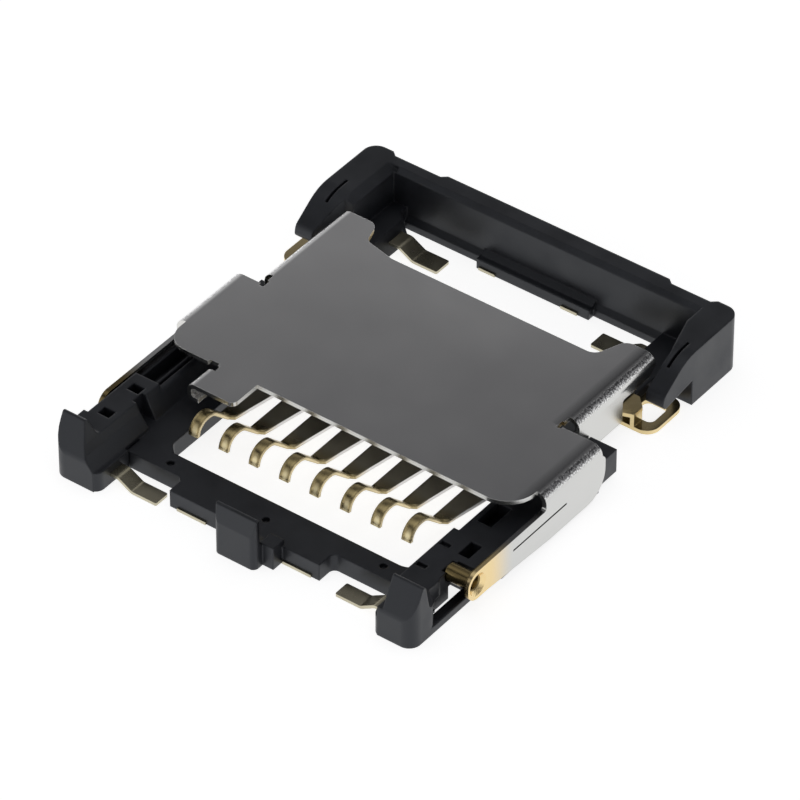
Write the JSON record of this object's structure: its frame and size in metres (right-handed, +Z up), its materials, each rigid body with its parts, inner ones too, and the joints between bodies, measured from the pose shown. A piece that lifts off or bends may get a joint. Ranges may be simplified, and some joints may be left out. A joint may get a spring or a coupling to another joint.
{
  "type": "micro sd card socket",
  "caption": "Micro memory card socket for surface mounting: a low moulded frame with spring contacts under a folded sheet-metal cover that turns up on two arms.",
  "frame": {"origin": "middle of the footprint, on the board", "axes": "+X across the card from its stepped side to its straight side, +Y from the card's contact end to the far wall, +Z up from the board"},
  "size_m": [0.0142, 0.016, 0.002],
  "materials": {
    "housing_plastic": "semi-matte moulded",
    "cover_steel": "satin",
    "gold_plating": "thin gold plating"
  },
  "bodies": {
    "base": {"housing": "housing_plastic", "contact_1": "gold_plating", "contact_2": "gold_plating", "contact_3": "gold_plating", "contact_4": "gold_plating", "contact_5": "gold_plating", "contact_6": "gold_plating", "contact_7": "gold_plating", "contact_8": "gold_plating", "near_left_tab": "gold_plating", "near_right_tab": "gold_plating", "far_left_tab": "gold_plating", "far_right_tab": "gold_plating", "front_left_pad": "gold_plating", "front_right_pad": "gold_plating", "rear_left_pad": "gold_plating", "rear_right_pad": "gold_plating", "left_ground_lug": "gold_plating", "right_ground_lug": "gold_plating"},
    "cover": {"cover": "cover_steel"}
  },
  "joints": [
    {"name": "cover_hinge", "type": "hinge", "parent": "base", "child": "cover", "pos_m": [0, -0.0054, 0.0009], "axis": [1, 0, 0], "range_deg": [0, 100]}
  ]
}
